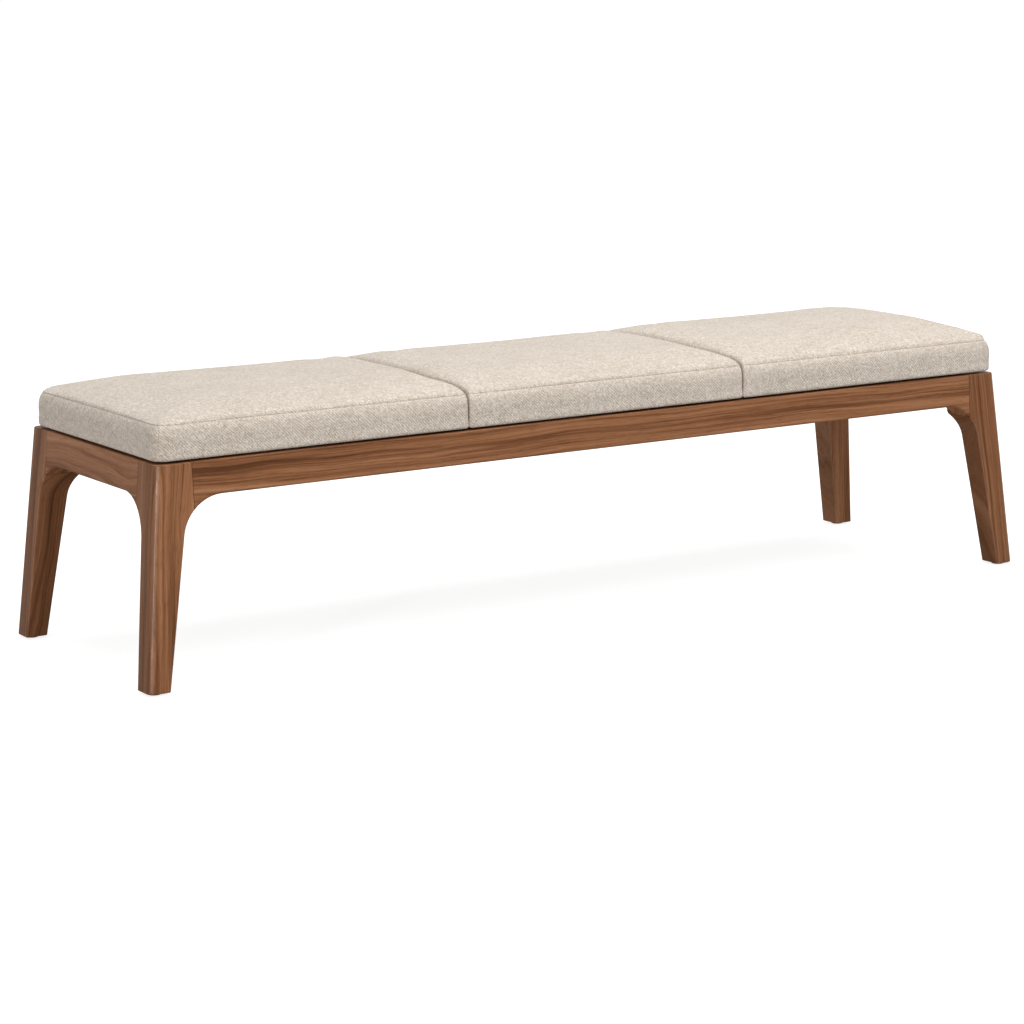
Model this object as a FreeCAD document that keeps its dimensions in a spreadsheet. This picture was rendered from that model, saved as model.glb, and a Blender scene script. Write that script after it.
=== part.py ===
import FreeCAD, Part
import math
import os
import re

import Sketcher

# An upholstered bench: a walnut frame of four splayed legs and four haunched rails, braced inside
# by corner blocks and two cross bearers, under three separate crowned seat pads.
# Millimetres, +Z up, +X along the bench, +Y to its back, origin on the floor under its middle.

doc = FreeCAD.newDocument("upholstered_bench")

# Driving dimensions
VALUES = [
    ("frame_height", 385.0, "floor to the top of the wooden frame"),
    ("top_length", 1816.0, "frame length over the end faces at the top"),
    ("top_depth", 514.0, "frame depth over the front and rear faces at the top"),
    ("splay_along", 38.0, "end faces further out at the floor, at each end"),
    ("splay_across", 24.0, "front and rear faces further out at the floor, on each side"),
    ("rail_height", 58.5, "rail height between the haunches"),
    ("rail_thickness", 48.0, "thickness of every rail at its top"),
    ("haunch_radius", 76.0, "arc from a rail's underside into a leg"),
    ("head_length", 65.0, "leg head along the bench, at the top"),
    ("head_depth", 67.0, "leg head across the bench, at the top"),
    ("knee_length", 58.0, "leg along the bench, level with the haunch centre"),
    ("knee_depth", 52.0, "leg across the bench, level with the haunch centre"),
    ("foot_width", 41.0, "leg along the bench, at its foot"),
    ("foot_breadth", 48.0, "leg across the bench, at its foot"),
    ("corner_round", 13.0, "radius of a leg's outer corner"),
    ("arris_round", 4.0, "radius of the other leg arrises and of the rail undersides"),
    ("top_round", 2.5, "radius of the frame's outer top arris"),
    ("foot_round", 2.0, "radius of the arris round a foot"),
    ("glide_height", 4.0, "leg foot above the floor"),
    ("glide_diameter", 24.0, "round glide under a leg"),
    ("nail_diameter", 3.0, "shank of a glide's nail"),
    ("nail_length", 20.0, "a glide's nail inside the leg"),
    ("nail_head", 7.0, "head of a glide's nail"),
    ("nail_head_thickness", 1.2, "head of a glide's nail"),
    ("nail_sink", 0.6, "nail head above the glide's underside"),
    ("glide_edge", 1.0, "bevel round a glide's underside"),
    ("dowel_diameter", 10.0, "dowels between rails and legs"),
    ("dowel_length", 56.0, "half in the rail and half in the leg"),
    ("dowel_drop", 20.0, "upper dowel of a joint below the frame's top"),
    ("dowel_pitch", 28.0, "between the two dowels of a joint"),
    ("fit_gap", 0.1, "clearance of a glued, driven or threaded fit, on the radius"),
    ("bore_spare", 1.0, "free depth beyond the end of a dowel, screw or nail"),
    ("seat_lift", 3.2, "supports of the pads above the frame's top"),
    ("block_side", 130.0, "corner block along each rail"),
    ("support_thickness", 28.0, "corner blocks and cross bearers"),
    ("block_relief", 1.0, "clearance of a corner block round the leg"),
    ("bearer_width", 120.0, "cross bearer along the bench"),
    ("bearer_dowel_diameter", 8.0, "dowels between bearers and rails"),
    ("bearer_dowel_length", 40.0, "half in the rail and half in the bearer"),
    ("dowel_bevel", 1.0, "bevel at the ends of every dowel"),
    ("bearer_dowel_spread", 64.0, "between the two dowels at a bearer's end"),
    ("screw_diameter", 4.5, "wood screws of the corner blocks"),
    ("screw_head", 9.0, "pan head of a wood screw"),
    ("screw_head_height", 3.0, "pan head of a wood screw"),
    ("screw_head_flat", 5.4, "flat top of a pan head"),
    ("screw_head_rim", 1.5, "straight side of a pan head"),
    ("screw_tip", 6.0, "pointed end of a wood screw"),
    ("screw_length", 45.0, "wood screw under its head"),
    ("screw_bite", 24.0, "length of a wood screw inside the rail"),
    ("screw_near", 76.0, "nearer screw from the corner of the rails"),
    ("screw_far", 98.0, "further screw from the corner of the rails"),
    ("screw_bore", 11.0, "counterbore for a wood screw's head"),
    ("bolt_diameter", 6.0, "machine bolts that hold the pads"),
    ("bolt_length", 44.0, "shank of a pad bolt"),
    ("bolt_head", 12.0, "button head of a pad bolt"),
    ("bolt_head_height", 3.6, "button head of a pad bolt"),
    ("bolt_head_flat", 7.4, "flat top of a button head"),
    ("bolt_head_rim", 1.1, "straight side of a button head"),
    ("bolt_point", 0.7, "bevel at a pad bolt's end"),
    ("bolt_socket", 4.0, "hexagon socket of a pad bolt, across flats"),
    ("bolt_socket_depth", 2.2, "hexagon socket of a pad bolt"),
    ("bolt_inset", 46.0, "pad bolt from the rails' inner faces"),
    ("bolt_from_joint", 38.0, "pad bolt from the joint between two pads"),
    ("bolt_hole", 7.0, "clearance hole for a pad bolt"),
    ("washer_diameter", 18.0, "washer under a pad bolt's head"),
    ("washer_thickness", 1.6, "washer under a pad bolt's head"),
    ("nut_flange", 19.0, "flange of a tee nut"),
    ("nut_flange_thickness", 1.5, "flange of a tee nut"),
    ("nut_barrel", 8.0, "barrel of a tee nut"),
    ("nut_height", 10.0, "whole tee nut"),
    ("pad_inset", 2.0, "pad faces inside the frame's top outline"),
    ("pad_joint", 298.5, "joint between two pads from the middle of the bench"),
    ("pad_gap", 1.0, "gap between two pads"),
    ("band_height", 60.0, "pad side from its underside to the seam"),
    ("crown_rise", 27.0, "crown of a pad above the seam"),
    ("crown_reach", 250.0, "distance over which the crown rises from an open edge"),
    ("joint_reach", 16.0, "distance over which the crown rises from a pad joint"),
    ("corner_spread", 0.12, "how much the crown's corners widen as it rises inward"),
    ("pad_corner", 26.0, "plan radius of the pads' open corners"),
    ("joint_corner", 7.0, "plan radius of the pads' corners at a joint"),
    ("hem_round", 5.0, "rounding of a pad's bottom edge"),
    ("seam_draw", 1.0, "how far the sides draw in at the seam"),
    ("side_draw", 1.2, "how far the sides draw in between the corners"),
    ("cover_thickness", 1.5, "woven cover"),
    ("cover_return", 28.0, "cover turned in under the board"),
    ("lining_thickness", 0.6, "dust cloth under a pad"),
    ("lining_inset", 14.0, "dust cloth inside the pad's edge"),
    ("soft_gap", 0.3, "clearance round the foam and the board inside the cover"),
    ("board_thickness", 15.0, "plywood board of a pad"),
]
ALIASES = {alias for alias, value, note in VALUES}

dims = doc.addObject("Spreadsheet::Sheet", "dims")
for row, (alias, value, note) in enumerate(VALUES, 1):
    dims.set(f"A{row}", alias)
    dims.set(f"B{row}", str(value))
    dims.set(f"C{row}", note)
    dims.setAlias(f"B{row}", alias)
doc.recompute()

# Places that several pieces share, as formulas of the driving dimensions
END_TOP = "(top_length / 2)"
BACK_TOP = "(top_depth / 2)"
JOINT_X = "(top_length / 2 - head_length)"
JOINT_Y = "(top_depth / 2 - head_depth)"
RAIL_X = "(top_length / 2 - rail_thickness)"
RAIL_Y = "(top_depth / 2 - rail_thickness)"
RAIL_BOTTOM = "(frame_height - rail_height)"
HAUNCH_Z = "(frame_height - rail_height - haunch_radius)"
SPLAY_X = "(splay_along / frame_height)"
SPLAY_Y = "(splay_across / frame_height)"
HAUNCH_X = f"({END_TOP} + {SPLAY_X} * (frame_height - {HAUNCH_Z}) - knee_length - haunch_radius)"
HAUNCH_Y = f"({BACK_TOP} + {SPLAY_Y} * (frame_height - {HAUNCH_Z}) - knee_depth - haunch_radius)"
SEAT_Z = "(frame_height + seat_lift)"
SUPPORT_Z = f"({SEAT_Z} - support_thickness)"
FLANGE_Z = f"({SEAT_Z} + lining_thickness)"
BOARD_Z = f"({FLANGE_Z} + cover_thickness)"
SEAM_Z = f"({FLANGE_Z} + band_height)"
PAD_Y = f"({BACK_TOP} - pad_inset)"
PAD_END = f"({END_TOP} - pad_inset)"
BOLT_Y = f"({RAIL_Y} - bolt_inset)"
DOWEL_Y = f"({BACK_TOP} - rail_thickness / 2)"
DOWEL_X = f"({END_TOP} - rail_thickness / 2)"


def formula(text):
    """Point each alias of a formula at its cell in the sheet."""
    return re.sub(r"[a-z_]+", lambda word: f"dims.{word[0]}" if word[0] in ALIASES else word[0], str(text))


def number(text):
    """The present value of a formula."""
    value = dims.evalExpression(formula(text))
    return float(getattr(value, "Value", value))


def face_at(text, splay):
    """Distance of a splayed outer face from the middle, at a height."""
    top = END_TOP if splay == SPLAY_X else BACK_TOP
    return f"({top} + {splay} * (frame_height - ({text})))"


# Sketches
def origin_plane(body, role):
    return next(item for item in body.Origin.OriginFeatures if item.Role == role)


def new_sketch(body, name, plane, offset="0"):
    """A sketch on an origin plane of its body, moved along the plane's normal."""
    sketch = body.newObject("Sketcher::SketchObject", name)
    sketch.AttachmentSupport = (origin_plane(body, plane), "")
    sketch.MapMode = "FlatFace"
    sketch.setExpression(".AttachmentOffset.Base.z", formula(offset))
    return sketch


def constrain(sketch, rules):
    """Add constraints, each with the formula that drives it, or None."""
    added = sketch.addConstraint([rule for rule, text in rules])
    for index, (rule, text) in zip(added, rules):
        if text:
            sketch.setExpression(f"Constraints[{index}]", formula(text))


def at(geometry, point, axis, text):
    """A sketch point's distance from the sketch's origin along X or Y."""
    rule = Sketcher.Constraint(f"Distance{axis}", -1, 1, geometry, point, number(text))
    return rule, text


def flat_point(across, up):
    return FreeCAD.Vector(number(across), number(up), 0)


def arc_centre(start, stop, radius, side):
    """Centre of an arc through two points, on the left of its chord for side 1."""
    chord = stop - start
    rise = math.sqrt(radius ** 2 - (chord.Length / 2) ** 2)
    return (start + stop) * 0.5 + FreeCAD.Vector(-chord.y, chord.x, 0).normalize() * rise * side


def outline(sketch, corners, arcs=(), smooth=(), free=()):
    """Draw a closed outline. corners are pairs of formulas. arcs maps the corner where an arc starts
    to its radius and either its centre or the side of the chord that its centre is on. smooth lists
    corners whose two edges run on without a bend, and free maps a corner to the axes along which its
    arc places it."""
    arcs, free = dict(arcs), dict(free)
    points = [flat_point(*corner) for corner in corners]
    first = sketch.GeometryCount
    shapes, ends, rules = [], [], []
    for index, start in enumerate(points):
        stop = points[(index + 1) % len(points)]
        if index not in arcs:
            shapes.append(Part.LineSegment(start, stop))
            ends.append((1, 2))
            continue
        radius, seat = arcs[index]
        size = number(radius)
        known = isinstance(seat, tuple)
        heart = flat_point(*seat) if known else arc_centre(start, stop, size, seat)
        angles = [math.atan2(point.y - heart.y, point.x - heart.x) for point in (start, stop)]
        forward = (angles[1] - angles[0]) % (2 * math.pi) < math.pi
        low, high = angles if forward else angles[::-1]
        shapes.append(Part.ArcOfCircle(Part.Circle(heart, FreeCAD.Vector(0, 0, 1), size), low, high))
        ends.append((1, 2) if forward else (2, 1))
        rules.append((Sketcher.Constraint("Radius", first + index, size), radius))
        if known:
            rules += [at(first + index, 3, axis, text) for axis, text in zip("XY", seat)]
    for index, corner in enumerate(corners):
        before = (index - 1) % len(corners)
        kind = "Tangent" if index in smooth else "Coincident"
        meet = (first + before, ends[before][1], first + index, ends[index][0])
        rules.append((Sketcher.Constraint(kind, *meet), None))
        for axis, text in zip("XY", corner):
            if axis not in free.get(index, ""):
                rules.append(at(first + index, ends[index][0], axis, text))
    sketch.addGeometry(shapes, False)
    constrain(sketch, rules)
    return sketch


def circles(sketch, centres, diameter):
    """Draw equal circles, bound to formulas."""
    first = sketch.GeometryCount
    shapes, rules = [], []
    for index, centre in enumerate(centres, first):
        shapes.append(Part.Circle(flat_point(*centre), FreeCAD.Vector(0, 0, 1), number(diameter) / 2))
        rules.append((Sketcher.Constraint("Diameter", index, number(diameter)), diameter))
        rules += [at(index, 3, axis, text) for axis, text in zip("XY", centre)]
    sketch.addGeometry(shapes, False)
    constrain(sketch, rules)
    return sketch


def rectangle(low_x, low_y, high_x, high_y):
    return [(low_x, low_y), (high_x, low_y), (high_x, high_y), (low_x, high_y)]


# Features
def new_body(label):
    body = doc.addObject("PartDesign::Body", label)
    body.Label = label
    return body


def pad(body, sketch, length, midplane=False, reverse=False):
    feature = body.newObject("PartDesign::Pad", f"{body.Name}_pad")
    feature.Profile = sketch
    feature.Midplane = midplane
    feature.Reversed = reverse
    feature.setExpression("Length", formula(length))
    doc.recompute()
    return feature


def cut(body, sketch, depth=None, reverse=False):
    """A pocket; without a depth it runs right through, both ways."""
    volume = body.Shape.Volume
    feature = body.newObject("PartDesign::Pocket", f"{body.Name}_cut")
    feature.Profile = sketch
    if depth is None:
        feature.Type = "ThroughAll"
        feature.Midplane = True
    else:
        feature.Reversed = reverse
        feature.setExpression("Length", formula(depth))
    doc.recompute()
    assert body.Shape.Volume < volume - 1, f"{feature.Name} cuts nothing"
    return feature


def round_edges(body, radius, chosen):
    """Round the edges of the body's present shape that the test picks."""
    base = body.Tip
    names = [f"Edge{count}" for count, edge in enumerate(base.Shape.Edges, 1) if chosen(edge)]
    assert names, f"{body.Name} has no edge to round"
    feature = body.newObject("PartDesign::Fillet", f"{body.Name}_round")
    feature.Base = (base, names)
    feature.setExpression("Radius", formula(radius))
    doc.recompute()
    return feature


def mirror_feature(body, feature, role):
    copy = body.newObject("PartDesign::Mirrored", f"{feature.Name}_mirror")
    copy.Originals = [feature]
    copy.MirrorPlane = (origin_plane(body, role), [""])
    body.Tip = copy
    doc.recompute()
    return copy


def mirrored(label, source, axis):
    """The same piece on the other side of the bench."""
    copy = doc.addObject("Part::Mirroring", label)
    copy.Label = label
    copy.Source = source
    copy.Normal = FreeCAD.Vector(*axis)
    return copy


def every_quarter(label, pieces):
    """One group of separate solids: the pieces of the rear right quarter and their mirror images."""
    quarter = doc.addObject("Part::Compound", f"{label}_quarter")
    quarter.Links = pieces
    left = mirrored(f"{label}_left", quarter, (1, 0, 0))
    front = mirrored(f"{label}_front", quarter, (0, 1, 0))
    front_left = mirrored(f"{label}_front_left", left, (0, 1, 0))
    group = doc.addObject("Part::Compound", label)
    group.Label = label
    group.Links = [quarter, left, front, front_left]
    return group


def place(piece, x, y, z, turn=None):
    if turn:
        axis, angle = turn
        rotation = FreeCAD.Rotation(FreeCAD.Vector(*axis), angle)
        piece.Placement = FreeCAD.Placement(FreeCAD.Vector(), rotation)
    for axis, text in zip("xyz", (x, y, z)):
        piece.setExpression(f".Placement.Base.{axis}", formula(text))
    return piece


def turned(label, corners):
    """A body turned round its own Z axis from half of its section."""
    body = new_body(label)
    sketch = outline(new_sketch(body, f"{label}_section", "XZ_Plane"), corners)
    feature = body.newObject("PartDesign::Revolution", f"{label}_turn")
    feature.Profile = sketch
    feature.ReferenceAxis = (sketch, ["V_Axis"])
    feature.Angle = 360
    doc.recompute()
    return body


# Tests that pick edges
ON_SURFACE = 0.02


def off_end(point):
    return point.x - number(face_at(point.z, SPLAY_X))


def off_back(point):
    return point.y - number(face_at(point.z, SPLAY_Y))


def off_plane(axis, text):
    where = number(text)
    return lambda point: abs(getattr(point, axis)) - where


def lies_on(edge, *surfaces):
    """Five points along the edge are on every one of the surfaces."""
    low, high = edge.ParameterRange
    points = [edge.valueAt(low + (high - low) * step / 4) for step in range(5)]
    return all(abs(surface(point)) < ON_SURFACE for surface in surfaces for point in points)


def middle(edge):
    return edge.valueAt(sum(edge.ParameterRange) / 2)


# Frame
# Where a haunch arc runs into a leg's inner face, seen from the arc's centre, before it is made tangent
ARC_END = (0.99, 0.14)
DOWEL_LEVELS = ["frame_height - dowel_drop", "frame_height - dowel_drop - dowel_pitch"]
LONG_DOWELS = [(DOWEL_Y, up) for up in DOWEL_LEVELS]
END_DOWELS = [(DOWEL_X, up) for up in DOWEL_LEVELS]
DOWEL_BORE = "(dowel_diameter + 2 * fit_gap)"
DOWEL_DEPTH = "(dowel_length / 2 + bore_spare)"
BEARER_DOWELS = ["(pad_joint - bearer_dowel_spread / 2)", "(pad_joint + bearer_dowel_spread / 2)"]
BEARER_BORE = "(bearer_dowel_diameter + 2 * fit_gap)"
BEARER_DEPTH = "(bearer_dowel_length / 2 + bore_spare)"
SCREW_PLACES = ["screw_near", "screw_far"]
SCREW_BORE = "(screw_diameter + 2 * fit_gap)"
FOOT_X = f"({face_at('glide_height', SPLAY_X)} - foot_width / 2)"
FOOT_Y = f"({face_at('glide_height', SPLAY_Y)} - foot_breadth / 2)"
SUPPORT_MID = f"({SUPPORT_Z} + support_thickness / 2)"


def drill(body, role, offset, centres, diameter, depth, reverse=False):
    """Round holes from a plane of the body."""
    sketch = circles(new_sketch(body, f"{body.Name}_bores", role, offset), centres, diameter)
    return cut(body, sketch, depth, reverse)


def sawn_piece(label, front, front_arcs, end, end_arcs):
    """A piece whose front outline runs along Y and is trimmed to its end outline along X."""
    body = new_body(label)
    face = outline(new_sketch(body, f"{label}_front_outline", "XZ_Plane"), front, *front_arcs)
    pad(body, face, "2 * top_depth", midplane=True)
    trim = new_sketch(body, f"{label}_end_outline", "YZ_Plane")
    outline(trim, end, *end_arcs)
    outline(trim, rectangle("-top_depth", "-frame_height", "top_depth", "2 * frame_height"))
    cut(body, trim)
    return body


def haunch_foot(joint, haunch):
    """Height at which the haunch arc meets a joint face."""
    return f"{HAUNCH_Z} + sqrt(haunch_radius ^ 2 - ({joint} - {haunch}) ^ 2)"


def leg_outline(top, joint, splay, haunch, foot):
    """Foot, splayed outer face, head, joint face, haunch arc and inner face of a leg."""
    low = "glide_height"
    corners = [
        (face_at(low, splay), low),
        (top, "frame_height"),
        (joint, "frame_height"),
        (joint, haunch_foot(joint, haunch)),
        (f"{haunch} + haunch_radius * {ARC_END[0]}", f"{HAUNCH_Z} + haunch_radius * {ARC_END[1]}"),
        (f"{face_at(low, splay)} - {foot}", low),
    ]
    arcs = {3: ("haunch_radius", (haunch, HAUNCH_Z))}
    return corners, (arcs, (4,), {3: "Y", 4: "XY"})


def rail_outline(joint, haunch):
    """A rail between two joint faces, with a haunch at each end of its underside."""
    corners = [
        (f"-{joint}", "frame_height"),
        (joint, "frame_height"),
        (joint, haunch_foot(joint, haunch)),
        (haunch, RAIL_BOTTOM),
        (f"-{haunch}", RAIL_BOTTOM),
        (f"-{joint}", haunch_foot(joint, haunch)),
    ]
    arcs = {
        2: ("haunch_radius", (haunch, HAUNCH_Z)),
        4: ("haunch_radius", (f"-{haunch}", HAUNCH_Z)),
    }
    return corners, (arcs, (), {2: "Y", 3: "Y", 4: "Y", 5: "Y"})


def rail_section(top, inner, splay):
    """A rail's section down to the level of the haunch centres, its outer face splayed."""
    corners = [
        (inner, HAUNCH_Z),
        (face_at(HAUNCH_Z, splay), HAUNCH_Z),
        (top, "frame_height"),
        (inner, "frame_height"),
    ]
    return corners, ()


def make_leg():
    body = sawn_piece(
        "leg_rear_right",
        *leg_outline(END_TOP, JOINT_X, SPLAY_X, HAUNCH_X, "foot_width"),
        *leg_outline(BACK_TOP, JOINT_Y, SPLAY_Y, HAUNCH_Y, "foot_breadth"),
    )
    joint_x, joint_y = off_plane("x", JOINT_X), off_plane("y", JOINT_Y)
    top, foot = off_plane("z", "frame_height"), off_plane("z", "glide_height")
    pairs = [(off_end, off_back), (off_back, joint_x), (off_end, joint_y)]
    beyond = number(f"{JOINT_X} + arris_round"), number(f"{JOINT_Y} + arris_round")

    def is_arris(edge):
        upright = abs(edge.tangentAt(edge.ParameterRange[0]).z) > 0.3
        return upright and not any(lies_on(edge, *pair) for pair in pairs)

    def is_top(edge):
        return lies_on(edge, top) and middle(edge).x > beyond[0] and middle(edge).y > beyond[1]

    round_edges(body, "arris_round", is_arris)
    round_edges(body, "corner_round", lambda edge: lies_on(edge, off_end, off_back))
    round_edges(body, "top_round", is_top)
    round_edges(body, "foot_round", lambda edge: lies_on(edge, foot))
    drill(body, "YZ_Plane", JOINT_X, LONG_DOWELS, DOWEL_BORE, DOWEL_DEPTH, reverse=True)
    drill(body, "XZ_Plane", f"-{JOINT_Y}", END_DOWELS, DOWEL_BORE, DOWEL_DEPTH)
    nail_bore = "nail_diameter + 2 * fit_gap"
    nail_depth = "nail_length + bore_spare"
    drill(body, "XY_Plane", "glide_height", [(FOOT_X, FOOT_Y)], nail_bore, nail_depth, reverse=True)
    return body


def round_rail(body, outer, inner, joint):
    """Round a rail's outer top arris and both arrises of its underside."""
    top = off_plane("z", "frame_height")
    low = number(RAIL_BOTTOM) + 1

    def is_arris(edge):
        side = lies_on(edge, outer) or lies_on(edge, inner)
        return side and not lies_on(edge, joint) and middle(edge).z < low

    round_edges(body, "arris_round", is_arris)
    round_edges(body, "top_round", lambda edge: lies_on(edge, outer, top))


def make_long_rail():
    body = sawn_piece(
        "rail_rear",
        *rail_outline(JOINT_X, HAUNCH_X),
        *rail_section(BACK_TOP, RAIL_Y, SPLAY_Y),
    )
    round_rail(body, off_back, off_plane("y", RAIL_Y), off_plane("x", JOINT_X))
    ends = drill(body, "YZ_Plane", JOINT_X, LONG_DOWELS, DOWEL_BORE, DOWEL_DEPTH)
    mirror_feature(body, ends, "YZ_Plane")
    screws = [(f"{RAIL_X} - {along}", SUPPORT_MID) for along in SCREW_PLACES]
    screw_bores = drill(body, "XZ_Plane", f"-{RAIL_Y}", screws, SCREW_BORE, "screw_bite + bore_spare")
    mirror_feature(body, screw_bores, "YZ_Plane")
    bearers = [(across, SUPPORT_MID) for across in BEARER_DOWELS]
    bearer_bores = drill(body, "XZ_Plane", f"-{RAIL_Y}", bearers, BEARER_BORE, BEARER_DEPTH)
    mirror_feature(body, bearer_bores, "YZ_Plane")
    return body


def make_end_rail():
    body = sawn_piece(
        "rail_right",
        *rail_section(END_TOP, RAIL_X, SPLAY_X),
        *rail_outline(JOINT_Y, HAUNCH_Y),
    )
    round_rail(body, off_end, off_plane("x", RAIL_X), off_plane("y", JOINT_Y))
    ends = drill(body, "XZ_Plane", f"-{JOINT_Y}", END_DOWELS, DOWEL_BORE, DOWEL_DEPTH, reverse=True)
    mirror_feature(body, ends, "XZ_Plane")
    screws = [(f"{RAIL_Y} - {along}", SUPPORT_MID) for along in SCREW_PLACES]
    bores = drill(body, "YZ_Plane", RAIL_X, screws, SCREW_BORE, "screw_bite + bore_spare", reverse=True)
    mirror_feature(body, bores, "XZ_Plane")
    return body


def make_block():
    """A corner block: a triangle between two rails, notched round the leg."""
    body = new_body("corner_block_rear_right")
    leg_x, leg_y = f"{JOINT_X} - block_relief", f"{JOINT_Y} - block_relief"
    corners = [
        (RAIL_X, f"{RAIL_Y} - block_side"),
        (RAIL_X, leg_y),
        (leg_x, leg_y),
        (leg_x, RAIL_Y),
        (f"{RAIL_X} - block_side", RAIL_Y),
    ]
    sketch = outline(new_sketch(body, "block_outline", "XY_Plane", SUPPORT_Z), corners)
    circles(sketch, [(f"{RAIL_X} - bolt_inset", BOLT_Y)], "bolt_hole")
    pad(body, sketch, "support_thickness")
    grip = "(screw_length - screw_bite)"
    to_end = [(f"{RAIL_Y} - {along}", SUPPORT_MID) for along in SCREW_PLACES]
    to_back = [(f"{RAIL_X} - {along}", SUPPORT_MID) for along in SCREW_PLACES]
    drill(body, "YZ_Plane", RAIL_X, to_end, SCREW_BORE, grip)
    drill(body, "YZ_Plane", f"{RAIL_X} - {grip}", to_end, "screw_bore", "block_side")
    drill(body, "XZ_Plane", f"-{RAIL_Y}", to_back, SCREW_BORE, grip, reverse=True)
    drill(body, "XZ_Plane", f"{grip} - {RAIL_Y}", to_back, "screw_bore", "block_side", reverse=True)
    return body


def make_bearer():
    """A cross bearer between the long rails, under a joint between two pads."""
    body = new_body("cross_bearer_right")
    low, high = "(pad_joint - bearer_width / 2)", "(pad_joint + bearer_width / 2)"
    corners = rectangle(low, f"-{RAIL_Y}", high, RAIL_Y)
    sketch = outline(new_sketch(body, "bearer_outline", "XY_Plane", SUPPORT_Z), corners)
    bolts = [(f"pad_joint {side} bolt_from_joint", f"{end}{BOLT_Y}") for side in "-+" for end in ("", "-")]
    circles(sketch, bolts, "bolt_hole")
    pad(body, sketch, "support_thickness")
    dowels = [(across, SUPPORT_MID) for across in BEARER_DOWELS]
    bores = drill(body, "XZ_Plane", f"-{RAIL_Y}", dowels, BEARER_BORE, BEARER_DEPTH, reverse=True)
    mirror_feature(body, bores, "XZ_Plane")
    return body


# Fasteners and glides, each turned about its own axis
ALONG_X = ((0, 1, 0), 90)
ALONG_Y = ((1, 0, 0), -90)


def dowel(label, diameter, length):
    """A round dowel with bevelled ends, its middle at its own origin."""
    radius, half = f"({diameter} / 2)", f"({length} / 2)"
    return turned(label, [
        ("0", f"-{half}"),
        (f"{radius} - dowel_bevel", f"-{half}"),
        (radius, f"dowel_bevel - {half}"),
        (radius, f"{half} - dowel_bevel"),
        (f"{radius} - dowel_bevel", half),
        ("0", half),
    ])


def wood_screw(label):
    """A pan head screw, the underside of its head at its own origin."""
    head, shank = "(screw_head / 2)", "(screw_diameter / 2)"
    return turned(label, [
        ("0", "-screw_head_height"),
        ("screw_head_flat / 2", "-screw_head_height"),
        (head, "-screw_head_rim"),
        (head, "0"),
        (shank, "0"),
        (shank, "screw_length - screw_tip"),
        ("0", "screw_length"),
    ])


def pad_bolt(label):
    """A button head bolt with a hexagon socket, the underside of its head at its own origin."""
    head, shank = "(bolt_head / 2)", "(bolt_diameter / 2)"
    body = turned(label, [
        ("0", "-bolt_head_height"),
        ("bolt_head_flat / 2", "-bolt_head_height"),
        (head, "-bolt_head_rim"),
        (head, "0"),
        (shank, "0"),
        (shank, "bolt_length - bolt_point"),
        (f"{shank} - bolt_point", "bolt_length"),
        ("0", "bolt_length"),
    ])
    reach = "bolt_socket / sqrt(3)"
    corners = [(f"{reach} * cos({60 * step} deg)", f"{reach} * sin({60 * step} deg)") for step in range(6)]
    socket = outline(new_sketch(body, f"{label}_socket", "XY_Plane", "-bolt_head_height"), corners)
    cut(body, socket, "bolt_socket_depth", reverse=True)
    return body


def ring(label, inner, outer, height):
    return turned(label, rectangle(inner, "0", outer, height))


def tee_nut(label):
    """A flanged threaded insert, the top of its flange at its own origin."""
    bore, barrel, flange = "(bolt_diameter / 2 + fit_gap)", "(nut_barrel / 2)", "(nut_flange / 2)"
    return turned(label, [
        (bore, "-nut_height"),
        (barrel, "-nut_height"),
        (barrel, "-nut_flange_thickness"),
        (flange, "-nut_flange_thickness"),
        (flange, "0"),
        (bore, "0"),
    ])


def make_glide():
    edge, rim = "glide_edge", "(glide_diameter / 2)"
    bore = "(nail_diameter / 2 + fit_gap)"
    well = "(nail_head / 2 + fit_gap)"
    return place(turned("glide_rear_right", [
        (well, "0"),
        (f"{rim} - {edge}", "0"),
        (rim, edge),
        (rim, "glide_height"),
        (bore, "glide_height"),
        (bore, "nail_sink + nail_head_thickness"),
        (well, "nail_sink + nail_head_thickness"),
    ]), FOOT_X, FOOT_Y, "0")


def make_nail():
    head, shank = "(nail_head / 2)", "(nail_diameter / 2)"
    top = "(glide_height + nail_length)"
    return place(turned("glide_nail", [
        ("0", "nail_sink"),
        (head, "nail_sink"),
        (head, "nail_sink + nail_head_thickness"),
        (shank, "nail_sink + nail_head_thickness"),
        (shank, f"{top} - nail_diameter"),
        ("0", top),
    ]), FOOT_X, FOOT_Y, "0")


# Seat pads
RIGHT_PAD = (("(pad_joint + pad_gap / 2)", False), (PAD_END, True))
CENTRE_PAD = (("(pad_gap / 2 - pad_joint)", False), ("(pad_joint - pad_gap / 2)", False))
RIGHT_BOLTS = [(f"{RAIL_X} - bolt_inset", BOLT_Y), ("pad_joint + bolt_from_joint", BOLT_Y)]
CENTRE_BOLTS = [("pad_joint - bolt_from_joint", BOLT_Y)]
HEM_TURNS = (0, 30, 60, 90)
# The crown's levels: how many, how far round the ellipse, and how much closer they lie near the seam
CROWN_STEPS = 9
CROWN_TURN = 78
CROWN_GATHER = 1.3


def both_ways(points, mirror_x=False):
    """Places and their mirror images across the bench, and along it where a pad spans the middle."""
    across = [(x, f"-{y}") for x, y in points]
    along = [(f"-({x})", y) for x, y in points + across] if mirror_x else []
    return points + across + along


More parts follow.
